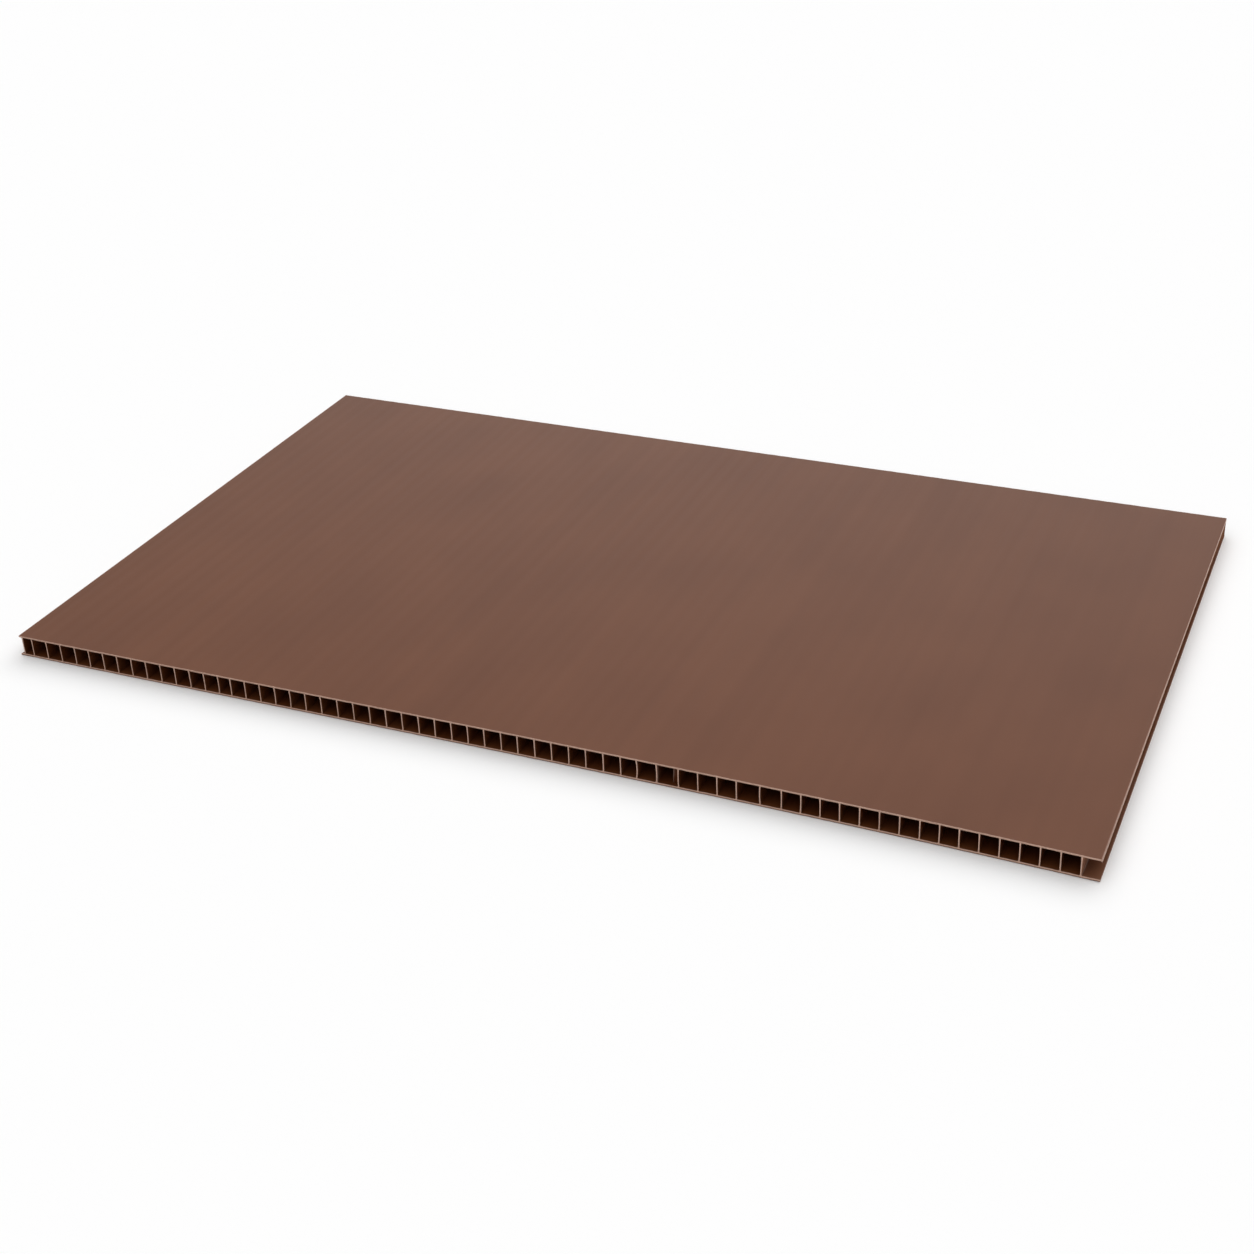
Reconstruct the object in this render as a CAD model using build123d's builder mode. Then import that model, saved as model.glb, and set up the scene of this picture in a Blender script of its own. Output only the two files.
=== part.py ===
from build123d import *
import os

# A rectangular piece of fluted plastic board, extruded in one piece and cut to size. Two flat skins
# are joined by upright ribs, so that a row of open flutes runs right through it. It lies flat.
# Sizes are in millimetres. +X runs along the long side, +Y along the flutes and +Z up, and the
# origin is the middle of the underside.

# Outside sizes
sheet_length = 500.0
sheet_width = 300.0
sheet_thickness = 10.0

# Walls of the extrusion
skin_thickness = 0.7
rib_thickness = 0.6

# Each corner of a flute is filled a little, where a rib runs out into a skin. This is how far the
# filling reaches along both.
corner_web = 0.3

# Ribs, from the middle of one to the middle of the next. The left side was cut just outside a rib,
# and the right side through a flute.
left_side_to_rib = 1.8
flute_pitch = 7.82

# Flutes that came out narrow or wide, by number from the left, as shares of the pitch
odd_flutes = {1: 0.67, 2: 1.04, 3: 1.02, 4: 1.03, 13: 0.97, 14: 0.96, 15: 0.83, 16: 0.95, 18: 0.97,
              22: 1.06, 40: 0.91, 41: 1.13, 42: 1.24, 43: 1.07, 44: 1.06, 45: 1.07, 46: 1.30, 47: 1.13}
odd_flutes.update({number: 1.02 for number in range(23, 28)})
odd_flutes.update({number: 1.035 for number in range(48, 55)})

# Ribs that bulge sideways at half height, by number from the left, towards the right if positive
bowed_ribs = {41: 0.35, 42: 0.15, 43: -0.15, 47: -0.3}

# The last rib runs out into the cut right side just before the back. This is how far past that side
# its outer face would lie at the back.
run_out = 0.15

# The ribs before it spread to the right there as well. This is how far the nearest of them has moved,
# and over how many ribs that movement fades out.
fan_drift = 2.75
fanned_ribs = 5

# The front was cut a little hollow. These are how far back the two handles of its curve stand from
# the straight line between its corners, at one third and at two thirds of the length.
front_handle_left = 1.1
front_handle_right = 5.9


def rib_places():
    """Middles of the ribs along X at the front. The last is the last that fits inside the right side."""
    places = []
    x = left_side_to_rib - sheet_length / 2
    while x + rib_thickness / 2 < sheet_length / 2:
        places.append(x)
        x += flute_pitch * odd_flutes.get(len(places), 1.0)
    return places


def upright(x, bow, floor, ceiling):
    """The side of a flute at x, straight or bulging."""
    if bow:
        ThreePointArc((x, floor), (x + bow, (floor + ceiling) / 2), (x, ceiling))
    else:
        Line((x, floor), (x, ceiling))


def flute(left_rib, right_rib, left_bow=0.0, right_bow=0.0):
    """Outline of the hollow between two ribs, given by their middles, with its corners filled."""
    left = left_rib + rib_thickness / 2
    right = right_rib - rib_thickness / 2
    floor = skin_thickness
    ceiling = sheet_thickness - skin_thickness
    with BuildSketch() as hollow:
        with BuildLine():
            Line((left, floor), (right, floor))
            upright(right, right_bow, floor, ceiling)
            Line((right, ceiling), (left, ceiling))
            upright(left, left_bow, floor, ceiling)
        make_face()
        chamfer(hollow.vertices(), corner_web)
    return hollow.sketch


# Straight hollows. The first runs out past the cut left side, so it is open there.
ribs = rib_places()
bows = [bowed_ribs.get(number, 0.0) for number in range(1, len(ribs) + 1)]
first_fanned = len(ribs) - 2 - fanned_ribs
straight_flutes = [flute(ribs[0] - flute_pitch, ribs[0])]
for i in range(first_fanned):
    straight_flutes.append(flute(ribs[i], ribs[i + 1], bows[i], bows[i + 1]))

# Ribs of the hollows that widen to the back, at the front and at the back. One place past the cut
# right side, the same at both ends, leaves the last hollow open there.
fan_front = ribs[first_fanned:]
fan_back = [x + fan_drift * i / fanned_ribs for i, x in enumerate(fan_front[:-1])]
fan_back.append(sheet_length / 2 + run_out - rib_thickness / 2)
past_side = ribs[-1] + 2 * flute_pitch
fan_front.append(past_side)
fan_back.append(past_side)

# The board
with BuildPart() as corrugated_sheet:
    with BuildSketch(Plane.XZ):
        Rectangle(sheet_length, sheet_thickness, align=(Align.CENTER, Align.MIN))
        add(straight_flutes, mode=Mode.SUBTRACT)
    extrude(amount=sheet_width / 2, both=True)

    # The fanned hollows
    for i in range(len(fan_front) - 1):
        with BuildSketch(Plane.XZ.offset(sheet_width / 2)):
            add(flute(fan_front[i], fan_front[i + 1]))
        with BuildSketch(Plane.XZ.offset(-sheet_width / 2)):
            add(flute(fan_back[i], fan_back[i + 1]))
        loft(ruled=True, mode=Mode.SUBTRACT)

    # The hollow cut along the front, between the straight front and its curve
    front_left = (-sheet_length / 2, -sheet_width / 2)
    front_right = (sheet_length / 2, -sheet_width / 2)
    with BuildSketch(Plane.XY):
        with BuildLine():
            Bezier(
                front_left,
                (-sheet_length / 6, -sheet_width / 2 + front_handle_left),
                (sheet_length / 6, -sheet_width / 2 + front_handle_right),
                front_right,
            )
            Line(front_right, front_left)
        make_face()
    extrude(amount=sheet_thickness, mode=Mode.SUBTRACT)

corrugated_sheet.part.label = "corrugated_sheet"
os.makedirs("parts", exist_ok=True)
export_step(corrugated_sheet.part, "parts/corrugated_sheet.step")
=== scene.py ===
import math

import bpy
import numpy as np
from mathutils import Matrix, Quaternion, Vector


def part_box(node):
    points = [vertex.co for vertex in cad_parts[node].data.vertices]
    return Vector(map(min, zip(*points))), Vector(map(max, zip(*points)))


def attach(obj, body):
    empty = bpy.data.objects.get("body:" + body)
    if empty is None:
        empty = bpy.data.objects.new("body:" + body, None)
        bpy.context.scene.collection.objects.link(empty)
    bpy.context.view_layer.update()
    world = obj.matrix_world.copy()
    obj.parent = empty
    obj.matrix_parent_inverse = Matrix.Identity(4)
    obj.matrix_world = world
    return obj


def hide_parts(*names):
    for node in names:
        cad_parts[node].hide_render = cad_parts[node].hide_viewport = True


# A piece of brown fluted plastic board lying on a white floor. Lengths are in metres, in the frame
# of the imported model: +X along the long side, across the flutes, +Y along the flutes, +Z up.

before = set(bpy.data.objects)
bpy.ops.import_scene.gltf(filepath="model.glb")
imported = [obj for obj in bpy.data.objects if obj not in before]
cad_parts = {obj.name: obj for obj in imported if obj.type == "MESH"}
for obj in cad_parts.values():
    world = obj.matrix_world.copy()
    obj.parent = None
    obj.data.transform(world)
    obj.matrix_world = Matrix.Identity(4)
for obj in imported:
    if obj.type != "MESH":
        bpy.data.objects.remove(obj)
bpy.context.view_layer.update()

MM = 0.001
BOARD = "corrugated_sheet"
low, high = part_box(BOARD)
random = np.random.default_rng(12)

# The board's three kinds of surface, by the number of their material, and its two cut ends, by their
# place as a share of the way from the front to the back
OUTSIDE, LINING, SCRAPED = 0, 1, 2
FRONT, BACK = 0, 1

# The front was cut a little hollow. These are how far back the two handles of its curve stand from
# the straight line between its corners, at one third and at two thirds of the length.
front_handle_left = 1.1 * MM
front_handle_right = 5.9 * MM

# The last rib runs out into the right side at the back, but for a hairline. The ribs before it spread
# to the right there as well: how far the nearest of them has moved, and over how many that fades out.
hairline = 0.03 * MM
fan_drift = 2.75 * MM
fanned_ribs = 5

# Rounding of the corners inside the flutes, and how many faces each run of the section has
corner_radius = 0.36 * MM
corner_steps = 3
skin_steps = 6
left_side_steps = 3
wall_steps = 5

# How far behind a cut end the rings of points next to it lie, and how many more are in between
ring_depths = np.array([0, 0.05, 0.2, 0.5, 1.1, 2.2, 4.5, 9]) * MM
middle_rings = 9

# The walls as they came out of the die. Ribs are thinner at half height and wander sideways, and the
# skins sink between them, now more, now less. The changes come and go over these lengths.
rib_waist = 0.07 * MM
rib_wander = 0.07 * MM
wander_lengths = (0.31, 0.17)
skin_dip = 0.045 * MM
dip_change = 0.4 * skin_dip
top_dip_lengths = (0.23, 0.11)
bottom_dip_lengths = (0.27, 0.13)

# The cuts are wavy, and each rib's end stands back by its own share of the setback. Both reach a
# little way into the board.
cut_waviness = 0.12 * MM
wave_lengths = (0.083, 0.031, 0.012, 0.0051)
wave_reach = 2 * MM
rib_setback = 0.12 * MM
setback_shares = (0.3, 1.0)
setback_reach = 0.8 * MM

# At the front the bottom skin sticks out and is turned up a little: in full at the underside, less at
# the skin's inner face, and not at all half a skin above that.
foot_out = 0.60 * MM
foot_lift = 0.25 * MM
foot_shares = (1, 0.9, 0)
foot_reach = 0.5 * MM

# The knife left the ribs' ends a little bent and tilted.
bend_spread = 0.04 * MM
tilt_spread = 0.05 * MM
bend_reach = 3 * MM

# The cuts' edges have a small bevel, and a burr on the inner edge of the bottom skin and of the top
# skin. The burr has at least one share of its height, and up to another share more along the edge.
bevel_width = 0.045 * MM
burr_heights = (0.14 * MM, 0.03 * MM)
burr_least, burr_change = 0.75, 0.5
burr_lengths = (0.019, 0.0073, 0.0029)
burr_reach = 0.45 * MM

# The right side's cut rolled the top skin's edge over. At these places in from the side, this is how
# far down its upper and its lower face lie. Some of the drop is missing at the front.
rolled_in = np.array([0, 0.10, 0.26, 0.55]) * MM
rolled_top = np.array([0.75, 0.32, 0.08, 0]) * MM
rolled_under = np.array([1.10, 0.50, 0.12, 0]) * MM
missing_drop = 0.6
missing_drop_reach = 0.8 * MM

# How white that edge is at those places, how white the cut sides are, and how much of this whiteness
# shows at shares of the way back
rolled_whitening = (0.96, 0.96, 0.42, 0)
side_whitening = 0.45
side_places, side_shares = (0, 0.4, 1), (0.70, 1.0, 1.17)

# The last rib's open face is a little white from the front to the back, and less so towards the back:
# whitening of the cut, and painted light that comes in at the open front.
open_face_white_and_light = (0.45, 0.12)

# The floor of the flute that is open at the right is lighter at these places in from the side, and
# at the front with painted light from the open end, which fades over a short way.
open_floor_in = np.array([0.1, 0.6, 1.8]) * MM
open_floor_lightening = (0.10, 0.07, 0)
open_floor_front_light = 0.085
open_floor_reach = 25 * MM

# How deep the whitening of the cut ends goes, on the skins, on a rib at least and at most, and on one
# rib that was bent while it was cut
skin_whitening = 0.07 * MM
rib_whitening = (0.04 * MM, 0.16 * MM)
strained_rib = 42
strained_reach = 0.8 * MM

# How strong it is: at the lower and upper faces of the bottom skin and of the top skin, on a rib at
# least and at most, and times this at the left side and at the right. The bottom skin's cut is brown
# at its lower face, as painted shade where it meets the floor, and whitest at its upper edge, partly
# as a painted highlight.
skin_whitening_and_shade = (0.0, 1.20, 0.50, 0.98)
rib_strength = (0.84, 1.0)
end_strengths = (0.90, 1.16)

# How dark the painted shade in a flute is, at least and at most, how far the painted daylight of an
# open end thins it, and how much of that painted daylight a flute gets, at least and at most
flute_shading = (0.8, 1.0)
daylight_reach = 4 * MM
daylight = (0.35, 1.2)

# A shaving left hanging on one rib's cut end, by the rib's number from the left. Its root is inside
# the plastic. It stands a little behind the front, bows back towards its free edge, which sags and is
# white, and gets narrower and leans back upwards.
shaving_rib = 43
shaving_width = 3.2 * MM
shaving_taper = 0.12
shaving_thickness = 0.07 * MM
shaving_height = 0.96
shaving_root = 0.1 * MM
shaving_behind = 0.7 * MM
shaving_bow = 2.0 * MM
shaving_lean = 0.2 * MM
shaving_sag = 0.3 * MM
shaving_whitening = 0.30
shaving_columns, shaving_rows = 7, 9

# Points this near a skin, as a share of the flutes' height, are the skin's.
skin_margin = 0.01

# Edges with a larger angle than this stay sharp.
sharp_angle = math.radians(35)


# The frame's own sizes

def read_frame():
    """Skin thickness, X of the two faces of every rib at the front, and its bulge, from the node.

    A rib's faces are read where the filling of the corners ends, a little above the floor.
    """
    lowest, highest = 0.1 * MM, 0.5 * MM
    same_place = 0.01 * MM
    points = np.array([v.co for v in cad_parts[BOARD].data.vertices])
    front = points[points[:, 1] < 0]
    heights = np.unique(front[:, 2].round(6))
    skin = heights[1] - heights[0]
    above_floor = front[:, 2] - (low.z + skin)
    feet = front[(above_floor > lowest) & (above_floor < highest)]
    x = np.sort(feet[:, 0])
    faces = x[np.append(True, np.diff(x) > same_place)].reshape(-1, 2)
    middle, half = (low.z + high.z) / 2, (high.z - low.z) / 2 - skin
    bulges = np.zeros(len(faces))
    bent = front[np.abs(front[:, 2] - middle) < half / 2]
    for x, _, z in bent:
        rib = np.abs(faces.mean(axis=1) - x).argmin()
        face = faces[rib][np.abs(faces[rib] - x).argmin()]
        share = 1 - ((z - middle) / half) ** 2
        if abs((x - face) / share) > abs(bulges[rib]):
            bulges[rib] = (x - face) / share
    return skin, faces, bulges


skin, rib_faces, rib_bulges = read_frame()
ribs = rib_faces.mean(axis=1)
floor_z, ceiling_z = low.z + skin, high.z - skin
board_width = high.y - low.y


# The section, as quads of points (x, z)

def column_places(bay):
    """X of the columns of points through both skins, over one flute or one open side."""
    if bay == 0:
        return np.linspace(low.x, rib_faces[0][0] - corner_radius, left_side_steps + 1)
    start = rib_faces[bay - 1][1] + corner_radius
    if bay == len(ribs):
        even = np.linspace(start, high.x - rolled_in[-1], skin_steps)
        return np.append(even, high.x - rolled_in[-2::-1])
    return np.linspace(start, rib_faces[bay][0] - corner_radius, skin_steps + 1)


def wall_profile(face, side):
    """Points down a rib's face between two skins. side is +1 where the hollow is on its right."""
    turns = np.linspace(math.pi / 2, 0, corner_steps + 1)[1:]
    corner = [(face + side * corner_radius * (1 - math.cos(a)), corner_radius * (1 - math.sin(a)))
              for a in turns]
    straight = np.linspace(ceiling_z - corner_radius, floor_z + corner_radius, wall_steps + 1)[1:-1]
    return ([(x, ceiling_z - rise) for x, rise in corner] + [(face, z) for z in straight]
            + [(x, floor_z + rise) for x, rise in corner[::-1]])


def board_section():
    """Points, quads counter-clockwise as seen from the front, and which points line the hollows."""
    points, quads, lining = [], [], []

    def point(x, z, inside):
        points.append((x, z))
        lining.append(inside)
        return len(points) - 1

    def column(x):
        under, top = (np.interp(high.x - x, rolled_in, drop) for drop in (rolled_under, rolled_top))
        return (point(x, low.z, False), point(x, floor_z, True),
                point(x, ceiling_z - under, True), point(x, high.z - top, False))

    def wall(face, side, top, bottom):
        return [top] + [point(x, z, True) for x, z in wall_profile(face, side)] + [bottom]

    last_column, last_wall = None, None
    for bay in range(len(ribs) + 1):
        columns = [column(x) for x in column_places(bay)]
        if bay > 0:
            left_wall = wall(rib_faces[bay - 1][1], 1, columns[0][2], columns[0][1])
            for a, b, c, d in zip(last_wall[1:], left_wall[1:], left_wall, last_wall):
                quads.append((a, b, c, d))
            columns = [last_column] + columns
        for (a, b, c, d), (e, f, g, h) in zip(columns, columns[1:]):
            quads.append((a, e, f, b))
            quads.append((c, g, h, d))
        if bay < len(ribs):
            last_wall = wall(rib_faces[bay][0], -1, columns[-1][2], columns[-1][1])
            last_column = columns[-1]
    return np.array(points), np.array(quads), np.array(lining)


def outline_edges(quads):
    """Directed edges that only one quad has, with the plastic on their left."""
    edges = {(q[i], q[(i + 1) % 4]) for q in quads.tolist() for i in range(4)}
    return np.array(sorted((a, b) for a, b in edges if (b, a) not in edges))


def inward(points, edges):
    """Unit direction from each point of the outline into the plastic."""
    run = points[edges[:, 1]] - points[edges[:, 0]]
    run /= np.linalg.norm(run, axis=1, keepdims=True)
    left = np.stack([-run[:, 1], run[:, 0]], axis=1)
    into = np.zeros_like(points)
    np.add.at(into, edges[:, 0], left)
    np.add.at(into, edges[:, 1], left)
    return into / np.linalg.norm(into, axis=1, keepdims=True)


# Small departures from the drawing

def ripple(at, lengths, size):
    """Smooth noise: sine waves of the given lengths with random phases, size at most."""
    total = np.zeros_like(at, dtype=float)
    for length in lengths:
        total += np.sin(at * 2 * math.pi / length + random.uniform(0, 2 * math.pi))
    return total * size / len(lengths)


def per_rib(at_y, size, lengths):
    """A table of smooth noise along Y, one row for every rib and zero rows for the two cut sides."""
    rows = [ripple(at_y, lengths, size) for _ in ribs]
    still = np.zeros_like(at_y)
    return np.array([still] + rows + [still])


def mix_rows(table, place):
    """Rows of the table at fractional places."""
    row = np.clip(np.floor(place).astype(int), 0, len(table) - 2)
    share = (place - row)[:, None]
    return table[row] * (1 - share) + table[row + 1] * share


# The section's way from the front to the back

def front_line(x):
    """Y of the front's curve."""
    t = (x - low.x) / (high.x - low.x)
    return low.y + 3 * (1 - t) * t * ((1 - t) * front_handle_left + t * front_handle_right)


def fan(x):
    """How far the section's points at X have moved to the right at the back."""
    spread = fan_drift * np.clip(1 - np.arange(len(ribs) - 1)[::-1] / fanned_ribs, 0, 1)
    at_ribs = np.append(spread, high.x - hairline - rib_faces[-1][1])
    return np.interp(x, np.append(rib_faces, high.x), np.append(np.repeat(at_ribs, 2), 0))


def stations():
    """Where the rings of points stand, as shares of the way from the front to the back."""
    near = ring_depths / board_width
    between = np.linspace(near[-1], 1 - near[-1], middle_rings + 2)[1:-1]
    return np.concatenate([near, between, 1 - near[::-1]])


class Rings:
    """The section's points, repeated from the front to the back. Tables run by point, then by ring."""

    def __init__(self, points, lining, into):
        self.section_x, self.section_z = points[:, :1], points[:, 1:]
        self.into_x, self.into_z = into[:, :1], into[:, 1:]
        self.inside = lining[:, None]
        self.share = stations()
        self.from_side = high.x - self.section_x

        # Height between the skins' inner faces, and place between the ribs
        self.height = (self.section_z - floor_z) / (ceiling_z - floor_z)
        self.upper = np.clip(self.height, 0, 1)
        self.in_upper_half = self.height > 0.5
        posts = np.concatenate([[low.x], ribs, [high.x]])
        self.place = np.interp(points[:, 0], posts, np.arange(len(posts)))
        self.between_ribs = np.sin(math.pi * self.place)[:, None] ** 2

        # The nearest rib, the flute, and an arch that is 1 at half height on a rib's face
        self.rib = np.abs(ribs[None, :] - self.section_x).argmin(axis=1)
        self.flute = np.searchsorted(ribs, points[:, 0])
        near_rib = np.abs(self.section_x - self.of_rib(ribs)) < skin + corner_radius
        off_skins = (self.height > skin_margin) & (self.height < 1 - skin_margin)
        self.on_wall = self.inside & near_rib & off_skins
        self.arch = np.where(self.on_wall, 4 * self.height * (1 - self.height), 0)
        self.bulge = self.of_rib(rib_bulges)

        # What the cut laid open at the right
        right_of_ribs = self.section_x > ribs[-1]
        self.scraped = self.on_wall & right_of_ribs
        self.open_floor = self.inside & (self.height < skin_margin) & right_of_ribs

    def of_rib(self, values):
        """The values of the ribs, for every point that of the nearest."""
        return values[self.rib][:, None]

    def of_flute(self, values):
        """The values of the flutes and both open sides, for every point that of its own."""
        return values[self.flute][:, None]

    def fade(self, end, reach):
        """1 at a cut end, and less and less into the board, about a third at the reach."""
        depth = np.abs(self.share - end)[None, :] * board_width
        return np.exp(-depth / reach)

    def extrude(self):
        """Lay the section out from the front's curve to the back, as it came out of the die."""
        along = low.y + self.share * board_width
        drift = mix_rows(per_rib(along, rib_wander, wander_lengths), self.place)
        dips_top = mix_rows(skin_dip + per_rib(along, dip_change, top_dip_lengths), self.place)
        dips_bottom = mix_rows(skin_dip + per_rib(along, dip_change, bottom_dip_lengths), self.place)
        self.x = self.section_x + drift + fan(self.section_x) * self.share
        self.x = self.x + self.arch * self.bulge + self.arch * rib_waist * self.into_x
        self.y = front_line(self.section_x) * (1 - self.share) + high.y * self.share
        dips = self.upper * dips_top - (1 - self.upper) * dips_bottom
        self.z = self.section_z - self.between_ribs * dips

    def lift_rolled_edge(self):
        """Take some of the rolled edge's drop away at the front."""
        drop = np.interp(self.from_side, rolled_in, rolled_top)
        drop = np.where(self.inside, np.interp(self.from_side, rolled_in, rolled_under), drop)
        drop = drop * self.in_upper_half
        self.z = self.z + missing_drop * drop * self.fade(FRONT, missing_drop_reach)

    def whiten_sides(self):
        """Whiten the two cut sides, and lighten what the right one laid open, partly with painted
        light.
        """
        at_side = np.isclose(self.section_x, low.x) | np.isclose(self.section_x, high.x)
        sides = np.where(at_side, side_whitening, 0)
        rolled = np.interp(self.from_side, rolled_in, rolled_whitening)
        sides = np.maximum(sides, np.where(self.in_upper_half, rolled, 0))
        sides = sides * np.interp(self.share, side_places, side_shares)
        # The open face and floor get painted light towards the front, where light comes in at the open
        # end
        face = np.interp(self.share, (FRONT, BACK), open_face_white_and_light)
        floor = np.maximum(np.interp(self.from_side, open_floor_in, open_floor_lightening),
                           open_floor_front_light * self.fade(FRONT, open_floor_reach))
        self.whitening_and_light = np.maximum(sides, np.where(self.scraped, face, 0))
        self.whitening_and_light = np.maximum(self.whitening_and_light, np.where(self.open_floor, floor, 0))

    def colour_flutes(self):
        """Give every flute its own painted shade and painted daylight, and every rib its own white
        reach.

        The two open sides have no painted shade.
        """
        flute_shade = random.uniform(*flute_shading, len(ribs) + 1)
        flute_shade[0] = flute_shade[-1] = 0
        self.flute_shade = self.of_flute(flute_shade)
        self.light = self.of_flute(random.uniform(*daylight, len(ribs) + 1))
        reaches = random.uniform(*rib_whitening, len(ribs))
        reaches[strained_rib - 1] = strained_reach
        self.white_reach = np.where(self.on_wall, self.of_rib(reaches), skin_whitening)

    def set_back(self, end):
        """Make a cut wavy, and its ribs stand back from it."""
        inwards = 1 if end == FRONT else -1
        wave = np.abs(ripple(self.section_x, wave_lengths, cut_waviness))
        behind = rib_setback * self.of_rib(random.uniform(*setback_shares, len(ribs)))
        self.y = self.y + inwards * wave * self.fade(end, wave_reach)
        self.y = self.y + inwards * behind * np.sqrt(self.arch) * self.fade(end, setback_reach)

    def turn_up_foot(self):
        """Push the bottom skin's front edge out and up."""
        foot = np.interp(self.section_z - low.z, (0, skin, 1.5 * skin), foot_shares)
        foot = foot * self.fade(FRONT, foot_reach)
        self.y = self.y - foot_out * foot
        self.z = self.z + foot_lift * foot

    def bend_ribs(self, end):
        """Bend and tilt the ribs at a cut. Ribs that bulge anyway are only tilted."""
        bend = self.of_rib(random.normal(0, bend_spread, len(ribs)))
        tilt = self.of_rib(random.normal(0, tilt_spread, len(ribs)))
        bend = np.where(self.bulge == 0, bend, 0)
        sideways = bend * self.arch + tilt * (self.height - 0.5) * (self.arch > 0)
        self.x = self.x + sideways * self.fade(end, bend_reach)

    def bevel(self, end):
        """Bevel a cut's edges, and raise the burr on the inner ones."""
        uneven = burr_least + np.abs(ripple(self.section_x, burr_lengths, burr_change))
        burr = np.interp(self.upper, (0, 1), burr_heights) * uneven
        swell = np.where(self.inside, burr * self.fade(end, burr_reach), 0) * self.into_z ** 2
        cut_back = np.where(self.share == end, bevel_width, 0)[None, :]
        self.x = self.x + self.into_x * (cut_back - swell)
        self.z = self.z + self.into_z * (cut_back - swell)

    def whiten_cut(self, end):
        """Whiten a cut, and let painted daylight thin the flutes' painted shade behind it."""
        # On the bottom skin's cut this paints shade at the floor and a highlight at its upper edge
        on_skins = np.interp(self.section_z, (low.z, floor_z, ceiling_z, high.z), skin_whitening_and_shade)
        on_ribs = self.of_rib(random.uniform(*rib_strength, len(ribs)))
        more = np.interp(self.section_x, (low.x, high.x), end_strengths)
        strength = np.where(self.on_wall, on_ribs, on_skins) * more
        self.whitening_and_light = np.maximum(self.whitening_and_light, strength * self.fade(end, self.white_reach))
        # Painted daylight from the open end thins the painted shade low in the flutes
        thinned = self.light * (1 - self.upper) * self.fade(end, daylight_reach)
        self.flute_shade = self.flute_shade * (1 - np.clip(thinned, 0, 1))

    def places(self):
        """All points, ring after ring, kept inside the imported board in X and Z."""
        co = np.stack([self.x, self.y, self.z], axis=2).transpose(1, 0, 2).reshape(-1, 3)
        co[:, 0] = np.clip(co[:, 0], low.x, high.x)
        co[:, 2] = np.clip(co[:, 2], low.z, high.z)
        return co

    def marks(self):
        """Numbers for the materials, in the order of the points."""
        near_ribs = (1 - self.between_ribs) * np.ones_like(self.y)
        tables = {"whitening_and_light": self.whitening_and_light, "painted_flute_shade": self.flute_shade, "rib_nearness": near_ribs}
        return {name: table.T.ravel() for name, table in tables.items()}


def board_faces(quads, edges, lining, scraped, ring_count):
    """Faces between the rings and on both cut ends, and the surface each belongs to."""
    count = len(lining)
    kinds = np.where(lining[edges].all(axis=1), LINING, OUTSIDE)
    kinds = np.where(scraped[edges].all(axis=1), SCRAPED, kinds)
    faces, surfaces = [], []
    for ring in range(ring_count - 1):
        a, b = edges[:, 0] + ring * count, edges[:, 1] + ring * count
        faces.append(np.stack([a, a + count, b + count, b], axis=1))
        surfaces.append(kinds)
    faces += [quads, quads[:, ::-1] + (ring_count - 1) * count]
    surfaces.append(np.full(2 * len(quads), OUTSIDE))
    return np.concatenate(faces), np.concatenate(surfaces)


def board_mesh():
    """Points, faces, the surface each face belongs to, and marks for the materials."""
    points, quads, lining = board_section()
    edges = outline_edges(quads)
    rings = Rings(points, lining, inward(points, edges))
    rings.extrude()
    rings.lift_rolled_edge()
    rings.whiten_sides()
    rings.colour_flutes()
    for end in (FRONT, BACK):
        rings.set_back(end)
        if end == FRONT:
            rings.turn_up_foot()
        rings.bend_ribs(end)
        rings.bevel(end)
        rings.whiten_cut(end)
    faces, surfaces = board_faces(quads, edges, lining, rings.scraped[:, 0], len(rings.share))
    return rings.places(), faces, surfaces, rings.marks()


# The pieces

def mesh_piece(name, co, faces, surfaces, marks):
    """A piece of the board from points and faces, with a number for every point under each mark."""
    mesh = bpy.data.meshes.new(name)
    mesh.from_pydata(np.asarray(co).tolist(), [], np.asarray(faces).tolist())
    for key, values in marks.items():
        mesh.attributes.new(key, "FLOAT", "POINT").data.foreach_set("value", values.astype(np.float32))
    for plastic in plastics:
        mesh.materials.append(plastic)
    mesh.polygons.foreach_set("material_index", surfaces.astype(np.int32))
    mesh.shade_smooth()
    mesh.set_sharp_from_angle(angle=sharp_angle)
    mesh.update()
    piece = bpy.data.objects.new(name, mesh)
    bpy.context.scene.collection.objects.link(piece)
    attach(piece, "root")
    return piece


def add_board():
    board = mesh_piece("fluted_board", *board_mesh())
    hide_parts(BOARD)


def sheet_faces(rows, columns):
    """Quads of a thin sheet whose points are a grid at the front and one at the back."""
    count = rows * columns
    grid = np.arange(count).reshape(rows, columns)
    a, b, c, d = (g.ravel() for g in (grid[:-1, :-1], grid[:-1, 1:], grid[1:, 1:], grid[1:, :-1]))
    front = np.stack([a, d, c, b], axis=1)
    back = front[:, ::-1] + count
    rim = np.concatenate([grid[0, :-1], grid[:-1, -1], grid[-1, :0:-1], grid[:0:-1, 0]])
    ahead = np.roll(rim, -1)
    sides = np.stack([ahead, rim, rim + count, ahead + count], axis=1)[:, ::-1]
    return np.concatenate([front, back, sides])


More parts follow.
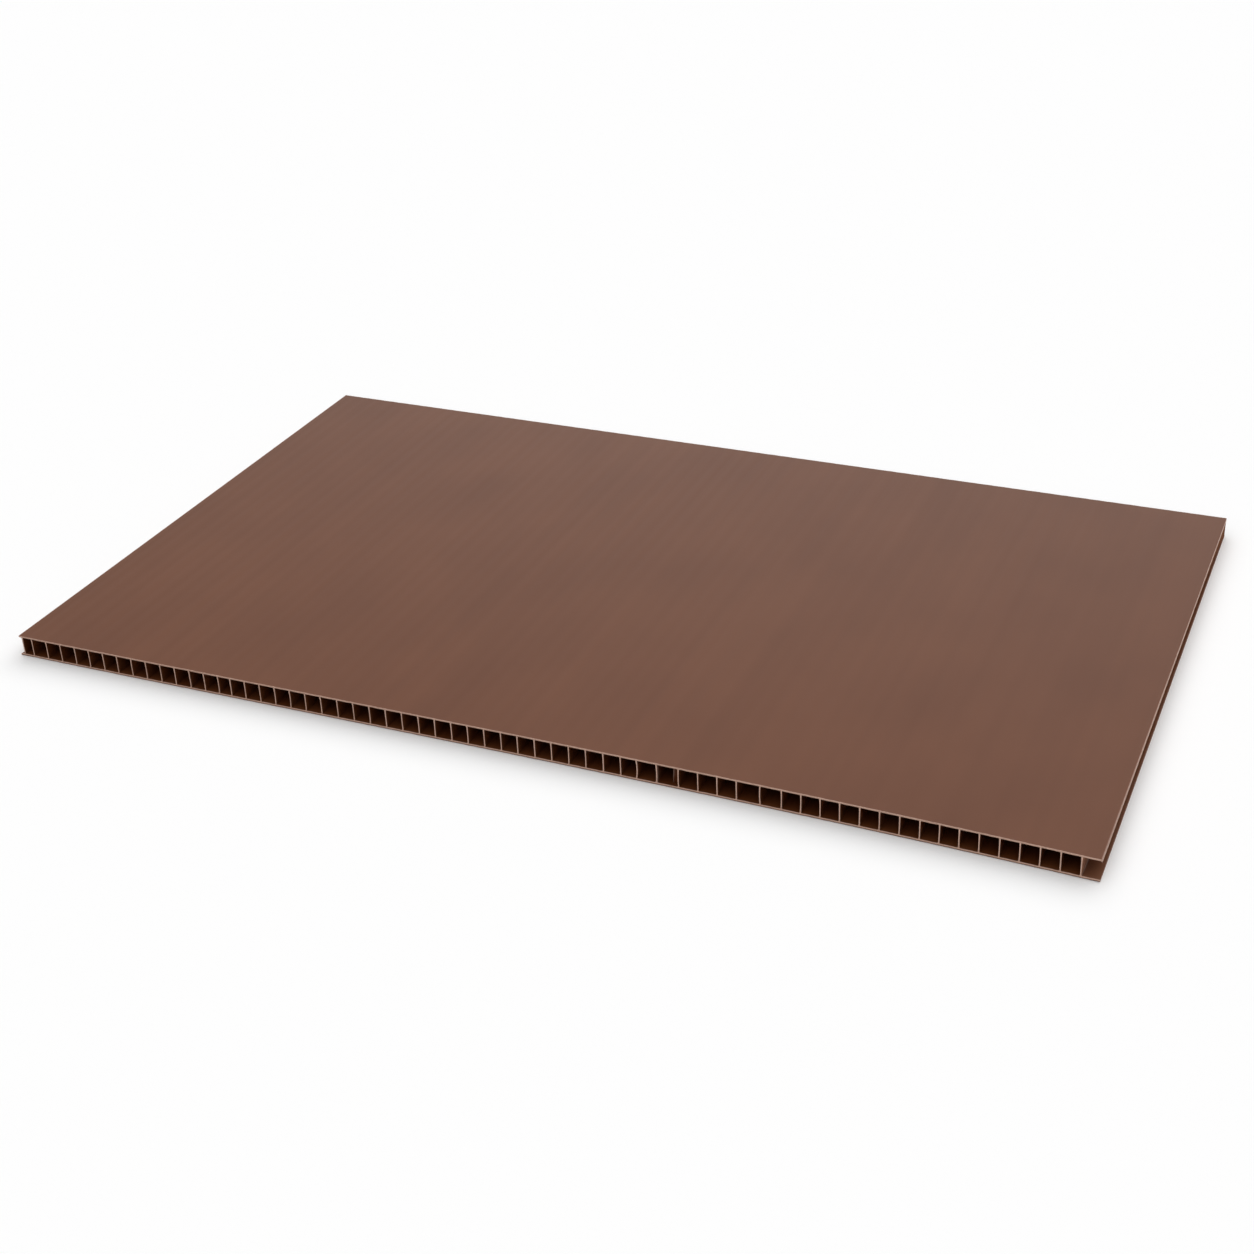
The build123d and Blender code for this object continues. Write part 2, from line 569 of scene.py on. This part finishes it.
def add_shaving():
    """A thin curl of plastic that the cut left on the left of one rib."""
    face = rib_faces[shaving_rib - 1][0]
    u, v = np.meshgrid(np.linspace(0, 1, shaving_columns), np.linspace(0, 1, shaving_rows))
    bottom, top = floor_z - shaving_root, floor_z + shaving_height * (ceiling_z - floor_z)
    x = face + shaving_root - shaving_width * (1 - shaving_taper * v ** 2) * u
    y = front_line(face) + shaving_behind + shaving_bow * np.sin(u * math.pi / 2) + shaving_lean * v
    z = bottom + (top - bottom) * v - shaving_sag * u * v
    halves = (-shaving_thickness / 2, shaving_thickness / 2)
    co = np.concatenate([np.stack([x, y + half, z], axis=2).reshape(-1, 3) for half in halves])
    free_edge = np.where(u == 1, shaving_whitening, 0.0).ravel()
    # The shaving gets the full painted shade of the flute that it hangs in
    marks = {"whitening_and_light": np.tile(free_edge, 2), "painted_flute_shade": np.ones(len(co)),
             "rib_nearness": np.zeros(len(co))}
    faces = sheet_faces(shaving_rows, shaving_columns)
    mesh_piece("cut_shaving", co, faces, np.full(len(faces), LINING), marks)


# The materials' colours, patterns and surfaces

# Two browns outside and two darker ones inside, as painted shade in the flutes, each pair mixed by a
# pattern, the brown of the inside in painted daylight and of the scraped face, and the whites of a
# cut, of that face and of the floor. The first two whites also paint light on the open flute's floor
# and on that face's front.
DARKER_BROWN, LIGHTER_BROWN = (0.132, 0.0418, 0.0142, 1), (0.152, 0.0502, 0.0182, 1)
DARKER_FLUTE_SHADE, LIGHTER_FLUTE_SHADE = (0.066, 0.015, 0.003, 1), (0.098, 0.025, 0.007, 1)
DAYLIT_BROWN = (0.140, 0.046, 0.016, 1)
SCRAPED_BROWN = (0.120, 0.042, 0.019, 1)
WHITENED_AND_LIGHT = (0.63, 0.42, 0.33, 1)
SCRAPED_WHITE_AND_LIGHT = (0.63, 0.33, 0.22, 1)
FLOOR_WHITE = (0.99, 0.99, 0.99, 1)

# How long the patterns' blobs are across the flutes, along them and upwards, in millimetres
WIDE_LINES, FINE_LINES, INNER_LINES = (9, 420, 9), (1.3, 150, 1.3), (1.6, 90, 1.6)
CLOUDS = (45, 60, 45)
GRAIN = (1.2, 1.8, 0.4)
STREAKS = (0.6, 14, 0.6)

# A pattern goes from 0 to 1, but most of it lies in this range.
PATTERN_RANGE = (0.3, 0.7)

# How much the wide lines, the fine lines and the clouds change the tone of the brown around its
# middle, and how much lighter it is over the ribs where the clouds are lightest: painted shading, as
# where the skin sinks between the ribs
wide_swing, fine_swing, cloud_swing = 0.9, 0.2, 1.9
middle_tone = 0.50
rib_shading = 0.25

# How much of the whitening the grain and the streaks let through, at least and at most
grain_shares = (0.72, 1.08)
streak_shares = (0.6, 1.4)

# Roughness outside, what the fine lines and the whitened cut add to it, and the other surfaces'
outside_roughness, line_roughness, cut_roughness = 0.28, 0.10, 0.3
inside_roughness = 0.32
scraped_roughness = 0.9
plastic_specular = 0.2

# The height of the bumps, and how strong they are outside, what the whitened cut adds, and on the
# scraped face
bump_height = 0.03 * MM
outside_bump, cut_bump, scraped_bump = 0.12, 0.8, 0.5


# The materials

class Nodes:
    """Short forms for building a material's nodes."""

    def __init__(self, tree):
        self.nodes, self.links = tree.nodes, tree.links

    def give(self, socket, value):
        """Link a socket to another, or set it to a number or a colour."""
        if isinstance(value, bpy.types.NodeSocket):
            self.links.new(value, socket)
        else:
            socket.default_value = value

    def add(self, kind, inputs=(), **settings):
        """A new node of a kind, with its settings and what goes into it."""
        node = self.nodes.new(kind)
        for key, value in settings.items():
            setattr(node, key, value)
        for key, value in dict(inputs).items():
            self.give(node.inputs[key], value)
        return node

    def math(self, operation, a, b=0.0):
        return self.add("ShaderNodeMath", {0: a, 1: b}, operation=operation).outputs[0]

    def ramp(self, value, low_in, high_in, low_out=0.0, high_out=1.0, kind="LINEAR"):
        """A value carried over from one range to another, and held at its ends."""
        inputs = {"Value": value, "From Min": low_in, "From Max": high_in,
                  "To Min": low_out, "To Max": high_out}
        return self.add("ShaderNodeMapRange", inputs, interpolation_type=kind).outputs[0]

    def mix(self, share, a, b):
        """Two colours mixed, the first alone at 0 and the second alone at 1."""
        inputs = {0: share, 6: a, 7: b}
        return self.add("ShaderNodeMix", inputs, data_type="RGBA").outputs[2]

    def swing(self, value, size):
        """A value from 0 to 1 as one around 0. From its least to its most it changes by size."""
        return self.math("MULTIPLY", self.math("SUBTRACT", value, 0.5), size)

    def noise(self, place, periods, detail):
        """A pattern from 0 to 1 whose blobs are about as long as the three periods, in millimetres."""
        scale = tuple(1 / (p * MM) for p in periods)
        stretched = self.add("ShaderNodeMapping", {"Vector": place, "Scale": scale}).outputs[0]
        inputs = {"Vector": stretched, "Scale": 1.0, "Detail": detail}
        return self.add("ShaderNodeTexNoise", inputs).outputs[0]

    def mark(self, name):
        """The numbers that the mesh holds under a name."""
        settings = {"attribute_name": name, "attribute_type": "GEOMETRY"}
        return self.add("ShaderNodeAttribute", **settings).outputs["Fac"]

    def place(self):
        """Where a point is on its object, in metres."""
        return self.add("ShaderNodeTexCoord").outputs["Object"]

    def bump(self, height, strength):
        """A direction for the shader's surface, tilted by a pattern of heights."""
        inputs = {"Height": height, "Distance": bump_height, "Strength": strength}
        return self.add("ShaderNodeBump", inputs).outputs[0]


def new_material(name, specular):
    """A material, its shader's inputs, and the short forms for its nodes."""
    material = bpy.data.materials.new(name)
    material.use_nodes = True
    surface = material.node_tree.nodes["Principled BSDF"].inputs
    surface["Specular IOR Level"].default_value = specular
    return material, surface, Nodes(material.node_tree)


def outside_plastic():
    """Satin brown plastic with faint lines from the die, whitened and rough where it was cut."""
    material, surface, n = new_material("brown_plastic", plastic_specular)
    place = n.place()
    wide_lines = n.noise(place, WIDE_LINES, detail=1)
    fine_lines = n.noise(place, FINE_LINES, detail=1)
    clouds = n.noise(place, CLOUDS, detail=2)
    grain = n.noise(place, GRAIN, detail=2)
    whitened, near_rib = n.mark("whitening_and_light"), n.mark("rib_nearness")

    # Lighter and darker brown
    tone = n.math("ADD", n.swing(wide_lines, wide_swing), n.swing(fine_lines, fine_swing))
    tone = n.math("ADD", tone, n.swing(clouds, cloud_swing))
    # Painted shading: lighter over the ribs, as where the skin sinks between them
    painted_rib_shading = n.math("MULTIPLY", near_rib, n.math("MULTIPLY", clouds, rib_shading))
    tone = n.math("ADD", n.math("ADD", tone, middle_tone), painted_rib_shading)
    brown = n.mix(tone, DARKER_BROWN, LIGHTER_BROWN)

    # The whitened cut
    scratches = n.ramp(grain, *PATTERN_RANGE, *grain_shares)
    amount = n.math("MINIMUM", n.math("MULTIPLY", whitened, scratches), 1.0)
    n.give(surface["Base Color"], n.mix(amount, brown, WHITENED_AND_LIGHT))

    rough = n.math("ADD", outside_roughness, n.math("MULTIPLY", fine_lines, line_roughness))
    n.give(surface["Roughness"], n.math("ADD", rough, n.math("MULTIPLY", whitened, cut_roughness)))
    strength = n.math("ADD", outside_bump, n.math("MULTIPLY", whitened, cut_bump))
    n.give(surface["Normal"], n.bump(grain, strength))
    return material


def inside_plastic():
    """The same plastic inside the flutes, smooth from the die, and darkened by painted shade."""
    material, surface, n = new_material("brown_plastic_inside", plastic_specular)
    # Painted shade darkens the flutes, less where painted daylight thins it near the open ends
    flute_shade = n.mix(n.noise(n.place(), INNER_LINES, detail=1), DARKER_FLUTE_SHADE, LIGHTER_FLUTE_SHADE)
    brown = n.mix(n.mark("painted_flute_shade"), DAYLIT_BROWN, flute_shade)
    n.give(surface["Base Color"], n.mix(n.mark("whitening_and_light"), brown, WHITENED_AND_LIGHT))
    n.give(surface["Roughness"], inside_roughness)
    return material


def scraped_plastic():
    """The last rib's open face, dull and streaked where the cut scraped it, with painted front light.
    """
    material, surface, n = new_material("brown_plastic_scraped", 0.0)
    streaks = n.noise(n.place(), STREAKS, detail=2)
    let_through = n.ramp(streaks, *PATTERN_RANGE, *streak_shares)
    amount = n.math("MULTIPLY", n.mark("whitening_and_light"), let_through)
    n.give(surface["Base Color"], n.mix(amount, SCRAPED_BROWN, SCRAPED_WHITE_AND_LIGHT))
    n.give(surface["Roughness"], scraped_roughness)
    n.give(surface["Normal"], n.bump(streaks, scraped_bump))
    return material


def white_floor():
    material, surface, n = new_material("white_floor", 0.0)
    n.give(surface["Base Color"], FLOOR_WHITE)
    n.give(surface["Roughness"], 1.0)
    return material


# Floor, light and camera

def add_floor():
    half_size = 20.0
    mesh = bpy.data.meshes.new("floor")
    a, b = -half_size, half_size
    corners = [(a, a, 0), (b, a, 0), (b, b, 0), (a, b, 0)]
    mesh.from_pydata(corners, [], [(0, 1, 2, 3)])
    mesh.materials.append(white_floor())
    floor = bpy.data.objects.new("floor", mesh)
    bpy.context.scene.collection.objects.link(floor)


def window(n, x, y, z):
    """A wide soft window overhead, brighter at the back, as light from the direction x, y, z.

    Its edges are given by how far a direction leans sideways or ahead for each unit that it rises.
    """
    half_width = 1.87
    front_start, front_end = -3.5, -2.0
    back_start, back_end = 2.0, 3.0
    back_brightness = 2.75
    least_rise = 0.01
    above = n.math("MAXIMUM", z, least_rise)
    side, ahead = n.math("DIVIDE", x, above), n.math("DIVIDE", y, above)
    across = n.ramp(n.math("ABSOLUTE", side), 0.0, half_width, 1, 0, "SMOOTHSTEP")
    front = n.ramp(ahead, front_start, front_end, 0, 1, "SMOOTHSTEP")
    back = n.ramp(ahead, back_start, back_end, 1, 0, "SMOOTHSTEP")
    slope = n.ramp(ahead, 0, back_start, 1, back_brightness, "SMOOTHSTEP")
    return n.math("MULTIPLY", n.math("MULTIPLY", across, slope), n.math("MULTIPLY", front, back))


def add_light():
    """A white world whose light comes from a window, and a little from all around.

    What the plastic mirrors is a wall that is darker at the left.
    """
    # The share of the light from all around, and the mean light on a level floor, which becomes 1
    spill, mean_light = 0.105, 0.778

    # How bright the wall is at the left and at the right, and where the one ends and the other starts
    left_wall, right_wall = 0.72, 1.02
    left_end, right_start = -0.6, -0.4

    world = bpy.data.worlds.new("soft_window")
    world.use_nodes = True
    n = Nodes(world.node_tree)
    direction = n.add("ShaderNodeTexCoord").outputs["Generated"]
    x, y, z = n.add("ShaderNodeSeparateXYZ", {0: direction}).outputs
    light = n.math("ADD", n.math("MULTIPLY", window(n, x, y, z), 1 - spill), spill)
    light = n.math("DIVIDE", light, mean_light)
    wall = n.ramp(x, left_end, right_start, left_wall, right_wall)
    path = n.add("ShaderNodeLightPath").outputs
    seen = n.math("MAXIMUM", path["Is Camera Ray"], path["Is Transmission Ray"])
    light_or_wall = n.ramp(path["Is Glossy Ray"], 0, 1, light, wall)
    background = world.node_tree.nodes["Background"].inputs
    n.give(background["Strength"], n.ramp(seen, 0, 1, light_or_wall, 1.0))
    n.give(background["Color"], (1, 1, 1, 1))
    bpy.context.scene.world = world


def add_camera():
    """Looks down at the board from the front right, a little tilted."""
    place = Vector((0.3367, -0.7561, 0.4510))
    target = Vector((-0.0014, -0.0348, 0))
    roll = math.radians(-2.8)
    camera = bpy.data.objects.new("camera", bpy.data.cameras.new("camera"))
    camera.data.lens = 56.3
    camera.data.shift_x = 0.015
    camera.location = place
    camera.rotation_mode = "QUATERNION"
    aim = (target - place).to_track_quat("-Z", "Y")
    camera.rotation_quaternion = aim @ Quaternion((0, 0, 1), roll)
    bpy.context.scene.collection.objects.link(camera)
    bpy.context.scene.camera = camera


plastics = (outside_plastic(), inside_plastic(), scraped_plastic())
add_board()
add_shaving()
add_floor()
add_light()
add_camera()
bpy.context.scene.view_settings.view_transform = "Standard"
